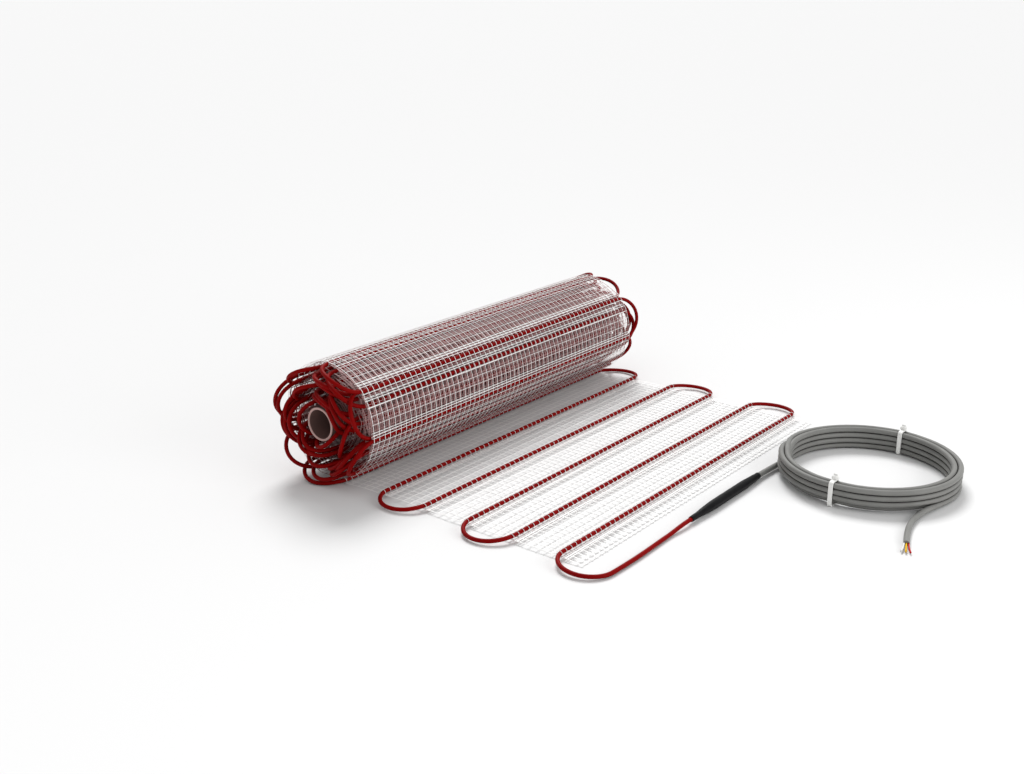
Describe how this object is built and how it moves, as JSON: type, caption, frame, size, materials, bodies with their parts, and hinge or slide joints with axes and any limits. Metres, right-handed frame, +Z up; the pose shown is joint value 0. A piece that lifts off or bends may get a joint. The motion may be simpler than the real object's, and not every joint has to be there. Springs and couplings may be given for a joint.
{
  "type": "underfloor heating mat",
  "caption": "Electric underfloor heating mat: glass-fibre mesh with a looped heating cable, part rolled on a tube and part laid out, with a spliced cold lead in a tied coil.",
  "frame": {"origin": "on the underside of the laid stretch of mesh, half way across its width and half way from its front edge to the roll", "axes": "+X along the roll's axis and across the mesh, -Y the way the mat unrolls, +Z up"},
  "size_m": [0.5, 0.5918, 0.1261],
  "materials": {
    "cardboard": "matt grey-brown paperboard with a paler, pinkish cut rim",
    "glass_fibre": "white coated glass-fibre threads in an open net",
    "red_jacket": "deep red satin cable jacket",
    "black_shrink": "black heat-shrink sleeve, satin",
    "grey_jacket": "mid grey cable jacket, satin",
    "white_nylon": "white nylon, slightly translucent",
    "pale_wire": "pale wire insulation",
    "yellow_wire": "yellow wire insulation",
    "red_wire": "red wire insulation"
  },
  "bodies": {
    "root": {"core_tube": "cardboard", "glass_fibre_mesh": "glass_fibre", "heating_cable": "red_jacket", "splice_sleeve": "black_shrink", "cold_lead_run": "grey_jacket", "cold_lead_coil": "grey_jacket", "cold_lead_tail": "grey_jacket", "cable_tie_1": "white_nylon", "cable_tie_2": "white_nylon", "conductor_left": "pale_wire", "conductor_middle": "yellow_wire", "conductor_right": "red_wire"}
  },
  "joints": []
}
